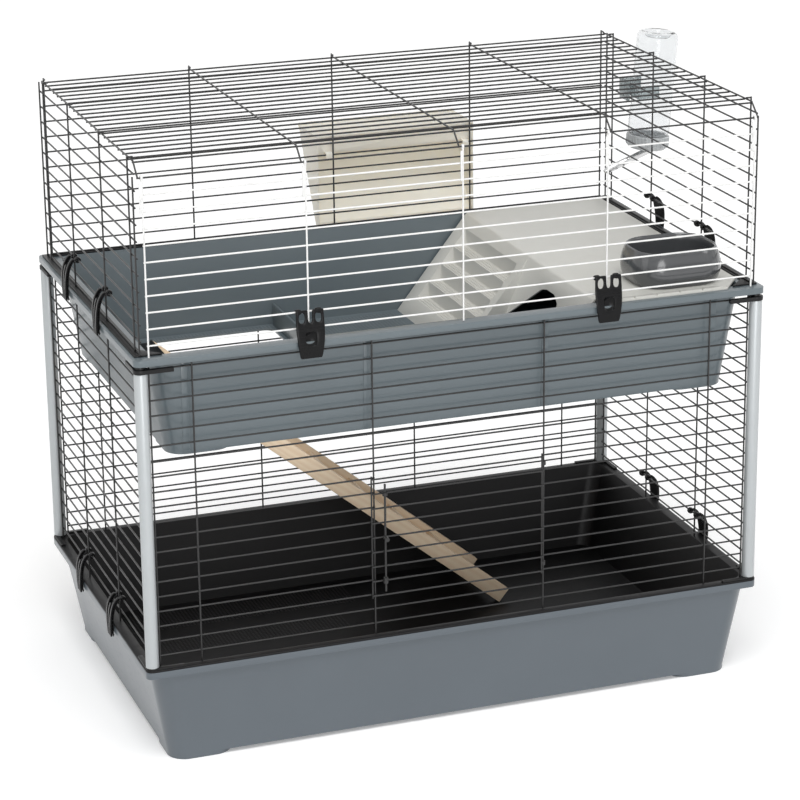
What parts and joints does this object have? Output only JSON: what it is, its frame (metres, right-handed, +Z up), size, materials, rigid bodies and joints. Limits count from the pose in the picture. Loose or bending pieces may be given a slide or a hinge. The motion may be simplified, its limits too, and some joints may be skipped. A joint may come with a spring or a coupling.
{
  "type": "rabbit cage",
  "caption": "Two-storey rabbit cage: plastic tubs on corner posts, wire panels and roof, lift-up wire front, lower wire door, ladder, shelter, bowl, hay rack and bottle.",
  "frame": {"origin": "on the floor, in the middle of the lower tub's middle foot", "axes": "+Z up, +X to the right along the cage's length, +Y to the back; the front doors face -Y"},
  "size_m": [1.0263, 0.6624, 0.8993],
  "materials": {
    "tub": "fine matte moulded blue-grey",
    "tray": "satin black moulded",
    "black_trim": "matte black moulded",
    "clip": "satin black moulded",
    "post": "satin light grey",
    "black_wire": "satin black coating",
    "white_wire": "satin white coating",
    "shelter": "fine matte light warm grey",
    "bowl": "glossy dark grey",
    "rack": "milky translucent beige",
    "bottle": "clear pale blue-grey",
    "grey_trim": "satin grey",
    "steel": "polished",
    "wood": "bare planed softwood"
  },
  "bodies": {
    "cage": {"bottle_holder": "grey_trim", "hatch_guard": "tub", "hay_rack": "rack", "ladder_board": "wood", "ladder_cleat_1": "wood", "ladder_cleat_2": "wood", "ladder_cleat_3": "wood", "ladder_cleat_4": "wood", "ladder_cleat_5": "wood", "ladder_cleat_6": "wood", "ladder_cleat_7": "wood", "ladder_hook": "black_trim", "ladder_rail_back": "wood", "ladder_rail_front": "wood", "lower_back_panel": "black_wire", "lower_front_panel": "black_wire", "lower_left_panel": "black_wire", "lower_right_panel": "black_wire", "lower_tray": "tray", "lower_tub": "tub", "post_bl": "post", "post_br": "post", "post_cap_bl": "black_trim", "post_cap_br": "black_trim", "post_cap_fl": "black_trim", "post_cap_fr": "black_trim", "post_fl": "post", "post_foot_bl": "black_trim", "post_foot_br": "black_trim", "post_foot_fl": "black_trim", "post_foot_fr": "black_trim", "post_fr": "post", "rim_frame": "black_trim", "roof": "black_wire", "shelter": "shelter", "upper_back_panel": "black_wire", "upper_left_panel": "black_wire", "upper_right_panel": "black_wire", "upper_tub": "tub"},
    "upper_front": {"upper_door": "white_wire"},
    "latch_left": {"front_latch_left": "clip"},
    "latch_right": {"front_latch_right": "clip"},
    "lower_front": {"lower_door": "black_wire"},
    "bolt": {"door_latch": "black_wire"},
    "grip_lower_left_front": {"clip_lower_left_front": "clip"},
    "grip_lower_left_back": {"clip_lower_left_back": "clip"},
    "grip_lower_right_front": {"clip_lower_right_front": "clip"},
    "grip_lower_right_back": {"clip_lower_right_back": "clip"},
    "grip_upper_left_front": {"clip_upper_left_front": "clip"},
    "grip_upper_left_back": {"clip_upper_left_back": "clip"},
    "grip_upper_right_front": {"clip_upper_right_front": "clip"},
    "grip_upper_right_back": {"clip_upper_right_back": "clip"},
    "lid": {"rack_lid": "rack"},
    "food_bowl": {"bowl": "bowl"},
    "water_bottle": {"bottle": "bottle", "bottle_cap": "grey_trim", "spout": "steel"}
  },
  "joints": [
    {"name": "upper_front_lift", "type": "hinge", "parent": "cage", "child": "upper_front", "pos_m": [0, -0.277, 0.863], "axis": [-1, 0, 0], "range_deg": [0, 165]},
    {"name": "latch_left_turn", "type": "hinge", "parent": "upper_front", "child": "latch_left", "pos_m": [-0.224, -0.277, 0.6516], "axis": [-1, 0, 0], "range_deg": [0, 80]},
    {"name": "latch_right_turn", "type": "hinge", "parent": "upper_front", "child": "latch_right", "pos_m": [0.224, -0.277, 0.6516], "axis": [-1, 0, 0], "range_deg": [0, 80]},
    {"name": "lower_front_swing", "type": "hinge", "parent": "cage", "child": "lower_front", "pos_m": [0.1305, -0.273, 0.3], "axis": [0, 0, 1], "range_deg": [0, 100]},
    {"name": "bolt_lift", "type": "slide", "parent": "lower_front", "child": "bolt", "axis": [0, 0, 1], "range_m": [0, 0.012]},
    {"name": "grip_lower_left_front_turn", "type": "hinge", "parent": "cage", "child": "grip_lower_left_front", "pos_m": [-0.461, -0.091, 0.1907], "axis": [0, 1, 0], "range_deg": [0, 80]},
    {"name": "grip_lower_left_back_turn", "type": "hinge", "parent": "cage", "child": "grip_lower_left_back", "pos_m": [-0.461, 0.091, 0.1907], "axis": [0, 1, 0], "range_deg": [0, 80]},
    {"name": "grip_lower_right_front_turn", "type": "hinge", "parent": "cage", "child": "grip_lower_right_front", "pos_m": [0.461, -0.091, 0.1907], "axis": [0, -1, 0], "range_deg": [0, 80]},
    {"name": "grip_lower_right_back_turn", "type": "hinge", "parent": "cage", "child": "grip_lower_right_back", "pos_m": [0.461, 0.091, 0.1907], "axis": [0, -1, 0], "range_deg": [0, 80]},
    {"name": "grip_upper_left_front_turn", "type": "hinge", "parent": "cage", "child": "grip_upper_left_front", "pos_m": [-0.461, -0.091, 0.6556], "axis": [0, 1, 0], "range_deg": [0, 80]},
    {"name": "grip_upper_left_back_turn", "type": "hinge", "parent": "cage", "child": "grip_upper_left_back", "pos_m": [-0.461, 0.091, 0.6556], "axis": [0, 1, 0], "range_deg": [0, 80]},
    {"name": "grip_upper_right_front_turn", "type": "hinge", "parent": "cage", "child": "grip_upper_right_front", "pos_m": [0.461, -0.091, 0.6556], "axis": [0, -1, 0], "range_deg": [0, 80]},
    {"name": "grip_upper_right_back_turn", "type": "hinge", "parent": "cage", "child": "grip_upper_right_back", "pos_m": [0.461, 0.091, 0.6556], "axis": [0, -1, 0], "range_deg": [0, 80]},
    {"name": "lid_lift", "type": "hinge", "parent": "cage", "child": "lid", "pos_m": [0.106, 0.36705, 0.7538], "axis": [-1, 0, 0], "range_deg": [0, 100]},
    {"name": "bowl_lift", "type": "slide", "parent": "cage", "child": "food_bowl", "axis": [0, 0, 1], "range_m": [0, 0.12]},
    {"name": "bottle_pull", "type": "slide", "parent": "cage", "child": "water_bottle", "axis": [0.9397, 0, 0.342], "range_m": [0, 0.08]}
  ]
}
